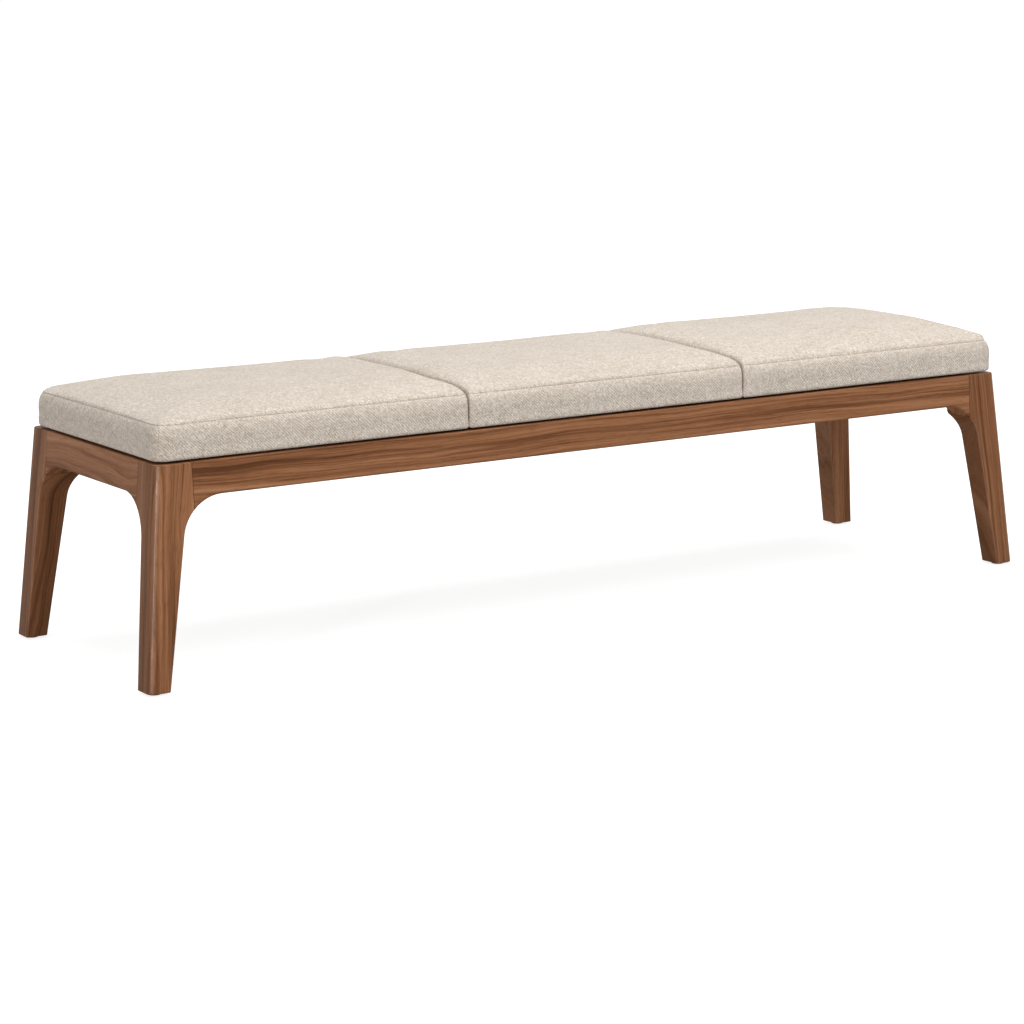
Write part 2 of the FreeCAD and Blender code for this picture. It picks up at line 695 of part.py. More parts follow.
def pad_plan(sketch, ends, skin, open_inset="0", joint_inset="0", soft="0"):
    """A pad's rounded outline at one level. Its free sides draw in between their corners, its sides at
    a joint are straight. skin moves every side in, as the layers inside the cover need."""
    insets = [f"({skin} + {open_inset if free else joint_inset})" for end, free in ends]
    low, high = f"({ends[0][0]} + {insets[0]})", f"({ends[1][0]} - {insets[1]})"
    turns = [f"({'pad_corner' if free else 'joint_corner'} - {skin} + {soft})" for end, free in ends]
    back = f"({PAD_Y} - {skin} - {open_inset})"
    low_x, high_x = f"({low} + {turns[0]})", f"({high} - {turns[1]})"
    low_y, high_y = f"({back} - {turns[0]})", f"({back} - {turns[1]})"
    corners = [
        (low_x, f"-{back}"),
        (high_x, f"-{back}"),
        (high, f"-{high_y}"),
        (high, high_y),
        (high_x, back),
        (low_x, back),
        (low, low_y),
        (low, f"-{low_y}"),
    ]
    long_side = f"(({high_x} - {low_x}) ^ 2 / (8 * side_draw) + side_draw / 2)"
    arcs = {1: (turns[1], 1), 3: (turns[1], 1), 5: (turns[0], 1), 7: (turns[0], 1)}
    arcs.update({0: (long_side, -1), 4: (long_side, -1)})
    if ends[1][1]:
        arcs[2] = (f"((2 * {high_y}) ^ 2 / (8 * side_draw) + side_draw / 2)", -1)
    return outline(sketch, corners, arcs)


def band_levels(skin):
    """Levels of a pad's side: its rounded hem, and half way up."""
    hem = f"(hem_round - {skin})"
    levels = []
    for turn in HEM_TURNS:
        height = f"{FLANGE_Z} + {skin} + {hem} * (1 - cos({turn} deg))"
        inset = f"({hem} * (1 - sin({turn} deg)))"
        levels.append((height, inset, inset, f"-{inset}"))
    levels.append((f"{FLANGE_Z} + band_height / 2", "0", "0", "0"))
    return levels


def crown_levels(skin):
    """Levels of the crown, a quarter of an ellipse from the seam towards the top."""
    levels = []
    for step in range(CROWN_STEPS + 1):
        turn = CROWN_TURN * (step / CROWN_STEPS) ** CROWN_GATHER
        height = f"{SEAM_Z} + (crown_rise - {skin}) * sin({turn:.1f} deg)"
        run = f"(1 - cos({turn:.1f} deg))"
        reaches = [f"(seam_draw + {reach} * {run})" for reach in ("crown_reach", "joint_reach")]
        levels.append((height, *reaches, f"crown_reach * {run} * corner_spread"))
    return levels


def pad_solid(label, ends, skin, floor=None):
    """A crowned pad form. Without a floor it starts at the hem; skin is the layer outside it."""
    body = new_body(label)
    band = [(floor, "0", "0", "0")] if floor else band_levels(skin)
    sketches = []
    for count, (height, *shape) in enumerate(band + crown_levels(skin)):
        sketch = new_sketch(body, f"{label}_level_{count}", "XY_Plane", height)
        sketches.append(pad_plan(sketch, ends, skin, *shape))
    doc.recompute()
    feature = body.newObject("PartDesign::AdditiveLoft", f"{label}_loft")
    feature.Profile = sketches[0]
    feature.Sections = sketches[1:]
    feature.Ruled = True
    doc.recompute()
    return body


def make_cover(label, ends):
    """A cover shell, open under the board inside its turned-in edge."""
    whole = pad_solid(f"{label}_outside", ends, "0")
    inside = pad_solid(f"{label}_inside", ends, "cover_thickness")
    mouth = new_body(f"{label}_mouth")
    sketch = new_sketch(mouth, f"{label}_mouth_plan", "XY_Plane", f"{FLANGE_Z} - cover_thickness")
    pad(mouth, pad_plan(sketch, ends, "0", "cover_return", "cover_return"), "3 * cover_thickness")
    tools = doc.addObject("Part::MultiFuse", f"{label}_hollow")
    tools.Shapes = [inside, mouth]
    cover = doc.addObject("Part::Cut", label)
    cover.Label = label
    cover.Base = whole
    cover.Tool = tools
    return cover


def make_board(label, ends, bolts):
    """A plywood board with a flush tee nut over each bolt."""
    body = new_body(label)
    sketch = new_sketch(body, f"{label}_plan", "XY_Plane", BOARD_Z)
    pad(body, pad_plan(sketch, ends, "(cover_thickness + soft_gap)"), "board_thickness")
    round_edges(body, "hem_round", lambda edge: lies_on(edge, off_plane("z", BOARD_Z)))
    top = f"{BOARD_Z} + board_thickness"
    drill(body, "XY_Plane", top, bolts, "nut_barrel + 2 * fit_gap", "board_thickness")
    drill(body, "XY_Plane", top, bolts, "nut_flange + 2 * fit_gap", "nut_flange_thickness")
    return body


def make_lining(label, ends, bolts):
    """A dust cloth with a hole at each bolt."""
    body = new_body(label)
    sketch = new_sketch(body, f"{label}_plan", "XY_Plane", SEAT_Z)
    pad_plan(sketch, ends, "0", "lining_inset", "lining_inset")
    pad(body, circles(sketch, bolts, "bolt_hole"), "lining_thickness")
    return body


# Pieces of the bench
nodes = []


def keep(*pieces):
    nodes.extend(pieces)
    return pieces[0]


leg_rear_right = keep(make_leg())
leg_rear_left = keep(mirrored("leg_rear_left", leg_rear_right, (1, 0, 0)))
keep(mirrored("leg_front_right", leg_rear_right, (0, 1, 0)))
keep(mirrored("leg_front_left", leg_rear_left, (0, 1, 0)))

rail_rear = keep(make_long_rail())
keep(mirrored("rail_front", rail_rear, (0, 1, 0)))
rail_right = keep(make_end_rail())
keep(mirrored("rail_left", rail_right, (1, 0, 0)))

rail_dowels = []
for count, (across, up) in enumerate(LONG_DOWELS):
    piece = dowel(f"long_dowel_{count}", "dowel_diameter", "dowel_length")
    rail_dowels.append(place(piece, JOINT_X, across, up, ALONG_X))
for count, (across, up) in enumerate(END_DOWELS):
    piece = dowel(f"end_dowel_{count}", "dowel_diameter", "dowel_length")
    rail_dowels.append(place(piece, across, JOINT_Y, up, ALONG_Y))
keep(every_quarter("rail_dowels", rail_dowels))

block = keep(make_block())
block_left = keep(mirrored("corner_block_rear_left", block, (1, 0, 0)))
keep(mirrored("corner_block_front_right", block, (0, 1, 0)))
keep(mirrored("corner_block_front_left", block_left, (0, 1, 0)))

screws = []
for along in SCREW_PLACES:
    into_end = place(wood_screw(f"end_{along}"), f"{RAIL_X} - screw_length + screw_bite",
                     f"{RAIL_Y} - {along}", SUPPORT_MID, ALONG_X)
    into_back = place(wood_screw(f"back_{along}"), f"{RAIL_X} - {along}",
                      f"{RAIL_Y} - screw_length + screw_bite", SUPPORT_MID, ALONG_Y)
    screws += [into_end, into_back]
keep(every_quarter("corner_block_screws", screws))

bearer = keep(make_bearer())
keep(mirrored("cross_bearer_left", bearer, (1, 0, 0)))
bearer_dowels = []
for count, across in enumerate(BEARER_DOWELS):
    piece = dowel(f"bearer_dowel_{count}", "bearer_dowel_diameter", "bearer_dowel_length")
    bearer_dowels.append(place(piece, across, RAIL_Y, SUPPORT_MID, ALONG_Y))
keep(every_quarter("bearer_dowels", bearer_dowels))

for name, ends, spots in (("right", RIGHT_PAD, RIGHT_BOLTS), ("centre", CENTRE_PAD, CENTRE_BOLTS)):
    bolts = both_ways(spots, mirror_x=name == "centre")
    cover = make_cover(f"seat_cover_{name}", ends)
    skin = "(cover_thickness + soft_gap)"
    foam = pad_solid(f"seat_foam_{name}", ends, skin, floor=f"{BOARD_Z} + board_thickness")
    board = make_board(f"seat_board_{name}", ends, bolts)
    lining = make_lining(f"seat_lining_{name}", ends, bolts)
    for piece in (cover, foam, board, lining):
        keep(piece)
        if name == "right":
            keep(mirrored(piece.Label.replace("right", "left"), piece, (1, 0, 0)))

bolt_parts, washers, nuts = [], [], []
washer_z = f"({SUPPORT_Z} - washer_thickness)"
for count, (x, y) in enumerate(RIGHT_BOLTS + CENTRE_BOLTS):
    bolt_parts.append(place(pad_bolt(f"pad_bolt_{count}"), x, y, washer_z))
    hole = "(bolt_hole / 2)"
    washer = ring(f"pad_washer_{count}", hole, "(washer_diameter / 2)", "washer_thickness")
    washers.append(place(washer, x, y, washer_z))
    nuts.append(place(tee_nut(f"tee_nut_{count}"), x, y, f"{BOARD_Z} + board_thickness"))
keep(every_quarter("pad_bolts", bolt_parts))
keep(every_quarter("pad_washers", washers))
keep(every_quarter("tee_nuts", nuts))

glide = keep(make_glide())
glide_left = keep(mirrored("glide_rear_left", glide, (1, 0, 0)))
keep(mirrored("glide_front_right", glide, (0, 1, 0)))
keep(mirrored("glide_front_left", glide_left, (0, 1, 0)))
keep(every_quarter("glide_nails", [make_nail()]))

# Check and write
doc.recompute()
for item in doc.Objects:
    assert not {"Invalid", "Error"} & set(item.State), f"{item.Label}: {item.State}"
for node in nodes:
    assert not node.Shape.isNull() and node.Shape.isValid(), f"{node.Label} has no valid shape"
os.makedirs("parts", exist_ok=True)
for node in nodes:
    node.Shape.exportStep(f"parts/{node.Label}.step")
print(f"{len(nodes)} nodes, {sum(len(node.Shape.Solids) for node in nodes)} solids")
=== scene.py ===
import math

import bpy
import numpy as np
from mathutils import Matrix, Vector
from mathutils.kdtree import KDTree


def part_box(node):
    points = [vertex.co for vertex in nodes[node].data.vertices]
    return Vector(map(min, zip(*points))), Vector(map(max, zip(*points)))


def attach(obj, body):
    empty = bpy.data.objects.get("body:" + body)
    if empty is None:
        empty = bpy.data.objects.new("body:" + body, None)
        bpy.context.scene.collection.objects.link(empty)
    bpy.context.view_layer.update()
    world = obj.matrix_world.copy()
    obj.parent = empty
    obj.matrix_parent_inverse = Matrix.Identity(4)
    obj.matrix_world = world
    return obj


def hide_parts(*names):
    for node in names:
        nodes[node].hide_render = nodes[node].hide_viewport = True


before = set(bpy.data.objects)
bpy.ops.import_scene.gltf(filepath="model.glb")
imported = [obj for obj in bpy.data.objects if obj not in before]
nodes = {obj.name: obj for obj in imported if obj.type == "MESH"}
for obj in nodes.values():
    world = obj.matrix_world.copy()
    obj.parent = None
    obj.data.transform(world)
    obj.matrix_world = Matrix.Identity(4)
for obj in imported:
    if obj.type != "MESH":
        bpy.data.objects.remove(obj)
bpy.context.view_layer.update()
scene = bpy.context.scene


# Camera, at the photograph's place
IMAGE = 1024
FOCAL_PX = 2978.3
CAMERA_AT = (-2.9802, -4.6740, 1.2265)
PAN, TILT, ROLL = math.radians(32.04), math.radians(-10.82), math.radians(-0.68)


def make_camera():
    """The camera that the photo's perspective was solved to."""
    data = bpy.data.cameras.new("camera")
    data.sensor_width = 36.0
    data.lens = FOCAL_PX * data.sensor_width / IMAGE
    data.clip_end = 200.0
    camera = bpy.data.objects.new("camera", data)
    scene.collection.objects.link(camera)
    ahead = Vector((math.sin(PAN) * math.cos(TILT), math.cos(PAN) * math.cos(TILT), math.sin(TILT)))
    level = Vector((math.cos(PAN), -math.sin(PAN), 0.0))
    upward = level.cross(ahead)
    right = level * math.cos(ROLL) + upward * math.sin(ROLL)
    up = upward * math.cos(ROLL) - level * math.sin(ROLL)
    turn = Matrix((right, up, -ahead)).transposed()
    camera.matrix_world = Matrix.Translation(CAMERA_AT) @ turn.to_4x4()
    scene.camera = camera


make_camera()


# Shader graphs
class Graph:
    """A material's node graph. Inputs are numbers, tuples or sockets."""

    def __init__(self, name):
        self.material = bpy.data.materials.new(name)
        self.material.use_nodes = True
        self.tree = self.material.node_tree
        self.tree.nodes.clear()
        self.output = self.tree.nodes.new("ShaderNodeOutputMaterial")

    def feed(self, socket, value):
        if isinstance(value, bpy.types.NodeSocket):
            self.tree.links.new(value, socket)
        elif value is not None:
            if socket.type == "RGBA" and len(value) == 3:
                value = (*value, 1.0)
            socket.default_value = value

    def node(self, kind, inputs=None, **settings):
        node = self.tree.nodes.new(f"ShaderNode{kind}")
        for name, value in settings.items():
            setattr(node, name, value)
        for name, value in (inputs or {}).items():
            self.feed(node.inputs[name], value)
        return node

    def math(self, operation, *values):
        node = self.node("Math", operation=operation)
        for socket, value in zip(node.inputs, values):
            self.feed(socket, value)
        return node.outputs[0]

    def vector(self, operation, *values):
        node = self.node("VectorMath", operation=operation)
        for socket, value in zip(node.inputs, values):
            self.feed(socket, value)
        return node.outputs["Vector"]

    def split(self, vector):
        return self.node("SeparateXYZ", {0: vector}).outputs

    def join(self, x, y, z):
        return self.node("CombineXYZ", {0: x, 1: y, 2: z}).outputs[0]

    def noise(self, vector, scale=1.0, detail=2.0, roughness=0.5):
        inputs = {"Vector": vector, "Scale": scale, "Detail": detail, "Roughness": roughness}
        return self.node("TexNoise", inputs).outputs["Fac"]

    def spread(self, value, low, high, to_low=0.0, to_high=1.0):
        """Map low..high to to_low..to_high, held at both ends."""
        node = self.node("MapRange", {0: value, 1: low, 2: high, 3: to_low, 4: to_high})
        return node.outputs[0]

    def mix(self, amount, first, second):
        """Blend two colours."""
        node = self.node("Mix", data_type="RGBA")
        self.feed(node.inputs[0], amount)
        self.feed(node.inputs[6], first)
        self.feed(node.inputs[7], second)
        return node.outputs[2]

    def choose(self, amount, first, second):
        """Blend two numbers."""
        node = self.node("Mix", data_type="FLOAT")
        self.feed(node.inputs[0], amount)
        self.feed(node.inputs[2], first)
        self.feed(node.inputs[3], second)
        return node.outputs[0]

    def ramp(self, amount, stops):
        node = self.node("ValToRGB", {0: amount})
        elements = node.color_ramp.elements
        while len(elements) < len(stops):
            elements.new(0.5)
        for element, (place, colour) in zip(elements, stops):
            element.position = place
            element.color = (*colour, 1.0)
        return node.outputs[0]

    def bump(self, height, distance, strength):
        return self.node("Bump", {"Height": height, "Distance": distance, "Strength": strength}).outputs[0]

    def finish(self, **inputs):
        """Close the graph with a Principled shader. Its inputs are named with _ for each space."""
        names = {name.replace("_", " "): value for name, value in inputs.items()}
        shader = self.node("BsdfPrincipled", names)
        self.feed(self.output.inputs[0], shader.outputs[0])
        return self.material


def place_of(graph):
    """The place in the shared frame, which is each object's own."""
    return graph.node("TexCoord").outputs["Object"]


# Wood
WALNUT = ((0.34, (0.084, 0.032, 0.013)), (0.44, (0.186, 0.077, 0.034)),
          (0.52, (0.286, 0.126, 0.059)), (0.66, (0.410, 0.199, 0.103)))
STREAK, PORE = (0.066, 0.023, 0.008), (0.060, 0.021, 0.008)
# a fine dark line at joints, and the dark tone of the painted shade on a leg's faces
JOINT_LINE, PAINTED_SHADE_TONE = (0.024, 0.009, 0.004), (0.056, 0.019, 0.006)
OILED = 0.035


def walnut(name, turn, seed, joint=None, painted_shades=None):
    """Walnut with its grain along the local Z axis of turn. joint is a coordinate axis and the two
    places along it where the piece meets its neighbours in a fine dark line. For a leg, the last argument is
    painted shade: how much darker its faces are made to the front and rear, and to the sides, where less
    light falls. Its corners are burnished."""
    g = Graph(name)
    spot = place_of(g)
    shift = tuple(float(v) for v in np.random.default_rng(seed).uniform(-3, 3, 3))
    inputs = {"Vector": spot, "Location": shift, "Rotation": turn}
    mapped = g.node("Mapping", inputs, vector_type="POINT").outputs[0]
    x, y, z = g.split(mapped)
    bend = g.noise(g.vector("MULTIPLY", mapped, (7.0, 7.0, 2.2)), detail=2.0)
    ripple = g.noise(g.vector("MULTIPLY", mapped, (30.0, 30.0, 9.0)), detail=2.0)
    across = g.math("ADD", x, g.math("MULTIPLY", y, 0.6))
    across = g.math("MULTIPLY_ADD", bend, 0.036, g.math("MULTIPLY_ADD", ripple, 0.004, across))
    broad = g.noise(g.join(g.math("MULTIPLY", across, 34.0), 0.0, g.math("MULTIPLY", z, 1.1)), detail=2.0)
    rings = g.noise(g.join(g.math("MULTIPLY", across, 150.0), 5.0, g.math("MULTIPLY", z, 1.3)),
                    detail=4.0, roughness=0.66)
    lines = g.noise(g.join(g.math("MULTIPLY", across, 430.0), 9.0, g.math("MULTIPLY", z, 3.0)),
                    detail=3.0, roughness=0.6)
    fibres = g.noise(g.vector("MULTIPLY", mapped, (620.0, 620.0, 11.0)), detail=5.0, roughness=0.7)
    pores = g.noise(g.vector("MULTIPLY", mapped, (1150.0, 1150.0, 42.0)), detail=1.0)
    figure = g.math("MULTIPLY_ADD", rings, 0.60, g.math("MULTIPLY", broad, 0.40))
    figure = g.math("MULTIPLY_ADD", g.math("SUBTRACT", fibres, 0.5), 0.20, figure)
    colour = g.ramp(figure, WALNUT)
    streak = g.math("MULTIPLY", g.spread(lines, 0.52, 0.66), g.spread(broad, 0.66, 0.44))
    colour = g.mix(g.math("MULTIPLY", streak, 0.62), colour, STREAK)
    pore = g.spread(pores, 0.58, 0.70)
    colour = g.mix(g.math("MULTIPLY", pore, 0.40), colour, PORE)
    if joint:
        axis, low, high = joint
        along = g.split(spot)["XYZ".index(axis)]
        gap = g.math("MINIMUM", g.math("ABSOLUTE", g.math("SUBTRACT", along, low)),
                     g.math("ABSOLUTE", g.math("SUBTRACT", along, high)))
        colour = g.mix(g.spread(gap, 0.0004, 0.0015, 0.85, 0.0), colour, JOINT_LINE)
    sunk = g.math("MULTIPLY_ADD", pore, 0.5, g.math("MULTIPLY", streak, 0.15))
    relief = g.math("SUBTRACT", g.math("MULTIPLY", fibres, 0.35), sunk)
    gloss = g.spread(figure, 0.35, 0.65, 0.42, 0.31)
    out_x, out_y, out_z = g.split(g.node("NewGeometry").outputs["Normal"])
    # undersides are left dull
    gloss = g.math("MAXIMUM", gloss, g.spread(out_z, -0.20, -0.60, 0.0, 0.90))
    mirror = OILED
    # painted shade: a leg's faces darkened by the way they face, a little to the front and rear and more to
    # the sides
    if painted_shades:
        out_x, out_y = g.math("ABSOLUTE", out_x), g.math("ABSOLUTE", out_y)
        shade = g.spread(out_x, 0.50, 0.85, *painted_shades)
        colour = g.mix(shade, colour, PAINTED_SHADE_TONE)
        burnish = g.spread(g.math("MINIMUM", out_x, out_y), 0.34, 0.60)
        gloss = g.math("MULTIPLY_ADD", burnish, -0.12, gloss)
        mirror = g.math("MULTIPLY_ADD", burnish, 0.30, mirror)
    return g.finish(Base_Color=colour, Roughness=gloss, Normal=g.bump(relief, 0.00025, 0.7),
                    Specular_IOR_Level=mirror)


def plain_wood(name, pale, dark, turn):
    """Sawn or sanded wood without a finish."""
    g = Graph(name)
    mapped = g.node("Mapping", {"Vector": place_of(g), "Rotation": turn}, vector_type="POINT").outputs[0]
    bend = g.noise(g.vector("MULTIPLY", mapped, (12.0, 12.0, 2.0)), detail=2.0)
    x, y, z = g.split(mapped)
    across = g.math("MULTIPLY_ADD", bend, 0.06, g.math("ADD", x, g.math("MULTIPLY", y, 0.5)))
    rings = g.noise(g.join(g.math("MULTIPLY", across, 150.0), 0.0, z), detail=3.0)
    fibres = g.noise(g.vector("MULTIPLY", mapped, (700.0, 700.0, 14.0)), detail=4.0)
    mixed = g.math("MULTIPLY_ADD", fibres, 0.4, g.math("MULTIPLY", rings, 0.6))
    colour = g.ramp(mixed, [(0.35, dark), (0.62, pale)])
    return g.finish(Base_Color=colour, Roughness=0.62, Normal=g.bump(mixed, 0.0003, 0.6))


def plywood(name):
    """Veneer layers seen at the edge, birch on the faces."""
    g = Graph(name)
    spot = place_of(g)
    x, y, z = g.split(spot)
    layer = g.math("PINGPONG", g.math("MULTIPLY", z, 1000.0), 1.4)
    grain = g.noise(g.vector("MULTIPLY", spot, (14.0, 420.0, 900.0)), detail=4.0)
    colour = g.ramp(g.math("MULTIPLY_ADD", grain, 0.55, g.math("MULTIPLY", layer, 0.32)),
                    [(0.3, (0.36, 0.22, 0.11)), (0.7, (0.66, 0.49, 0.30))])
    return g.finish(Base_Color=colour, Roughness=0.6, Normal=g.bump(grain, 0.0002, 0.5))


# Cloth, metal and nylon
RIB, YARN = 0.0056, 0.0022
WEAVE_PALE = (0.790, 0.724, 0.650)
WEAVE_DARK = (0.345, 0.280, 0.216)


def weave(g, across, down, seed):
    """Height and tone of a chenille twill, whose ribs run down to the right of one panel."""
    wobble = g.math("SUBTRACT", g.noise(g.join(across, down, seed), scale=55.0, detail=2.0), 0.5)
    slope = g.math("MULTIPLY_ADD", wobble, 0.009, g.math("SUBTRACT", across, down))
    along = g.math("ADD", across, down)
    rib = g.math("MULTIPLY_ADD", g.math("SINE", g.math("MULTIPLY", slope, 2 * math.pi / RIB)), 0.5, 0.5)
    cells = g.join(g.math("MULTIPLY", slope, 0.72 / YARN), g.math("MULTIPLY", along, 0.40 / YARN), seed)
    yarns = g.node("TexVoronoi", {"Vector": cells, "Scale": 1.0, "Randomness": 0.8}).outputs
    tone = g.split(yarns["Color"])[0]
    lump = g.spread(yarns["Distance"], 0.62, 0.05)
    slub = g.noise(g.join(g.math("MULTIPLY", across, 38.0), g.math("MULTIPLY", down, 150.0), seed),
                   detail=3.0, roughness=0.65)
    height = g.math("MULTIPLY_ADD", rib, 0.60, g.math("MULTIPLY", lump, 0.40))
    tone = g.math("MULTIPLY_ADD", tone, 0.50, g.math("MULTIPLY", slub, 0.50))
    return height, tone


def upholstery(name):
    """Oatmeal chenille twill with slubs and a soft nap, woven along each panel of a pad."""
    g = Graph(name)
    spot = place_of(g)
    x, y, z = g.split(spot)
    facing = g.split(g.vector("ABSOLUTE", g.node("NewGeometry").outputs["Normal"]))
    panels = (weave(g, x, g.math("MULTIPLY", y, -1.0), 1.7), weave(g, x, g.math("MULTIPLY", z, -1.0), 4.1),
              weave(g, g.math("MULTIPLY", y, -1.0), g.math("MULTIPLY", z, -1.0), 8.3))
    is_top = g.spread(facing[2], 0.66, 0.74)
    is_end = g.math("GREATER_THAN", facing[0], facing[1])
    height, tone = (g.choose(is_top, g.choose(is_end, front, end), top) for top, front, end in zip(*panels))
    cloud = g.noise(spot, scale=11.0, detail=3.0, roughness=0.6)
    speck = g.noise(spot, scale=300.0, detail=4.0, roughness=0.75)
    nap = g.noise(spot, scale=1500.0, detail=2.0)
    level = g.math("MULTIPLY_ADD", height, 0.34, g.math("MULTIPLY", tone, 0.54))
    level = g.math("MULTIPLY_ADD", g.math("SUBTRACT", speck, 0.5), 0.80, level)
    level = g.math("MULTIPLY_ADD", g.math("SUBTRACT", cloud, 0.5), 0.16, level)
    colour = g.mix(g.spread(level, 0.07, 0.77), WEAVE_DARK, WEAVE_PALE)
    relief = g.math("MULTIPLY_ADD", nap, 0.25, g.math("MULTIPLY", height, 0.7))
    relief = g.math("MULTIPLY_ADD", speck, 0.9, relief)
    return g.finish(Base_Color=colour, Roughness=0.92, Normal=g.bump(relief, 0.0009, 0.8),
                    Specular_IOR_Level=0.12, Sheen_Weight=0.2, Sheen_Roughness=0.5)


def thread(name):
    """Twisted sewing thread, a little darker than the cloth."""
    g = Graph(name)
    twist = g.noise(place_of(g), scale=2600.0, detail=1.0)
    colour = g.ramp(twist, [(0.35, (0.42, 0.36, 0.30)), (0.65, (0.68, 0.62, 0.55))])
    return g.finish(Base_Color=colour, Roughness=0.7, Normal=g.bump(twist, 0.0002, 0.6))


def dust_cloth(name):
    """Black non-woven cloth with a pressed dot pattern."""
    g = Graph(name)
    spot = place_of(g)
    dots = g.node("TexVoronoi", {"Vector": spot, "Scale": 420.0, "Randomness": 0.15}).outputs["Distance"]
    felt = g.noise(spot, scale=900.0, detail=3.0)
    colour = g.ramp(felt, [(0.3, (0.018, 0.018, 0.020)), (0.7, (0.050, 0.050, 0.054))])
    relief = g.math("ADD", g.spread(dots, 0.1, 0.45), g.math("MULTIPLY", felt, 0.5))
    return g.finish(Base_Color=colour, Roughness=0.9, Normal=g.bump(relief, 0.0004, 0.6))


def zinc(name):
    """Zinc-plated steel with a faint bloom."""
    g = Graph(name)
    spot = place_of(g)
    bloom = g.noise(spot, scale=240.0, detail=4.0)
    lines = g.noise(g.vector("MULTIPLY", spot, (60.0, 60.0, 2400.0)), detail=2.0)
    colour = g.ramp(bloom, [(0.3, (0.42, 0.43, 0.44)), (0.7, (0.62, 0.62, 0.60))])
    return g.finish(Base_Color=colour, Metallic=1.0, Roughness=g.spread(bloom, 0.3, 0.7, 0.28, 0.44),
                    Normal=g.bump(lines, 0.0001, 0.4))


def nylon(name):
    """Dark nylon with scuffs."""
    g = Graph(name)
    grain = g.noise(place_of(g), scale=1500.0, detail=3.0)
    scuff = g.noise(place_of(g), scale=160.0, detail=4.0)
    colour = g.ramp(scuff, [(0.3, (0.016, 0.012, 0.010)), (0.75, (0.045, 0.036, 0.030))])
    return g.finish(Base_Color=colour, Roughness=0.55, Normal=g.bump(grain, 0.0002, 0.4))


def dress(names, material):
    """Give CAD nodes their material."""
    for name in names:
        slots = nodes[name].data.materials
        slots.clear()
        slots.append(material)


SIDES = {"left": -1, "right": 1}
DEPTHS = {"front": -1, "rear": 1}
JOINT_X, JOINT_Y = 0.843, 0.190
ALONG_X, ALONG_Y = (0.0, math.pi / 2, 0.0), (math.pi / 2, 0.0, 0.0)
# how far a foot stands out of its leg's head, along y and along x, over the frame's height, in mm
FOOT_OUT_Y, FOOT_OUT_X, FRAME_HEIGHT = 24, 38, 385
SPLAY = (math.atan(FOOT_OUT_Y / FRAME_HEIGHT), math.atan(FOOT_OUT_X / FRAME_HEIGHT))
LEG_TWIST = 0.5
LEG_SEED, RAIL_SEED, END_SEED = 20, 40, 50
# painted shade of each leg: share of the dark tone on its faces to the front and rear, and on its sides
LEG_PAINTED_SHADES = {"front_left": (0.02, 0.36), "front_right": (0.24, 0.38), "rear_left": (0.13, 0.22),
              "rear_right": (0.14, 0.22)}

for depth, back in DEPTHS.items():
    for side, right in SIDES.items():
        corner = f"{depth}_{side}"
        lean = (-back * SPLAY[0], right * SPLAY[1], LEG_TWIST * right)
        dress([f"leg_{corner}"], walnut(f"walnut_leg_{corner}", lean, LEG_SEED + 3 * back + right,
                                        painted_shades=LEG_PAINTED_SHADES[corner]))
for seed, depth in enumerate(DEPTHS, RAIL_SEED):
    dress([f"rail_{depth}"], walnut(f"walnut_rail_{depth}", ALONG_X, seed, ("X", -JOINT_X, JOINT_X)))
for seed, side in enumerate(SIDES, END_SEED):
    dress([f"rail_{side}"], walnut(f"walnut_rail_{side}", ALONG_Y, seed, ("Y", -JOINT_Y, JOINT_Y)))

CORNERS = [f"{depth}_{side}" for depth in DEPTHS for side in SIDES]
PADS = ("left", "centre", "right")
BEECH = ((0.66, 0.47, 0.29), (0.50, 0.33, 0.19))
SAWN = ((0.52, 0.37, 0.22), (0.36, 0.23, 0.12))
dress(["rail_dowels", "bearer_dowels"], plain_wood("beech_dowel", *BEECH, ALONG_X))
dress([f"corner_block_{corner}" for corner in CORNERS], plain_wood("sawn_block", *SAWN, ALONG_X))
dress(["cross_bearer_left", "cross_bearer_right"], plain_wood("sawn_bearer", *SAWN, ALONG_Y))
dress([f"seat_board_{pad}" for pad in PADS], plywood("birch_plywood"))
dress(["corner_block_screws", "pad_bolts", "pad_washers", "tee_nuts", "glide_nails"], zinc("zinc_plate"))
dress([f"glide_{corner}" for corner in CORNERS], nylon("glide_nylon"))


# Seat pads: a start form, its simulated swelling, then the final form with its seams
FLANGE_Z, SEAM_Z = 0.3888, 0.4488
BAND = SEAM_Z - FLANGE_Z
HALF_Y, END_X, JOINT_AT = 0.255, 0.906, 0.2985
JOINT_CORNER, HALF_GAP = 0.007, 0.0005
# corner radii, front then back
LEFT_CORNERS, RIGHT_CORNERS = (0.024, 0.032), (0.020, 0.022)
SIDE_DRAW, HEM, JOINT_SHOULDER = 0.0010, 0.005, 0.0010
# points of an open corner on either side of its seam
CORNER_SEAM = 0.0007 * np.arange(-4, 5)
CORNER_POINTS = 8
FINE_STEP, COARSE_STEP = 0.004, 0.008
CROWN_RISE = {"left": 0.0276, "centre": 0.0286, "right": 0.0334}
# the crown's fall towards a joint: share and length of the quick part, share and reach of the slow part
JOINT_FALL = (0.90, 0.0042, 0.10, 0.05)
# its fall towards a pad's open corners: share, and the square of its reach
CORNER_FALL = (0.20, 0.004)
# how far two edges blend, and what the crown has risen already at its rim and at a joint
EDGE_BLEND, RIM_START, JOINT_START = 0.012, 0.0006, 0.0005
# each edge of a pad: share of its quick rise, length of it, reach of its slow rise, lean of its border
FRONT_EDGE, BACK_EDGE = (0.66, 0.0110, 0.280, 0.0060), (0.66, 0.015, 0.190, 0.0068)
LEFT_EDGE, RIGHT_EDGE = (0.58, 0.0140, 0.150, 0.0062), (0.88, 0.0105, 0.150, 0.0042)
SIDE_BULGE, END_BULGE = 0.0006, {"left": 0.0010, "centre": 0.0, "right": 0.0026}
SEAM_DEPTH = 0.0013
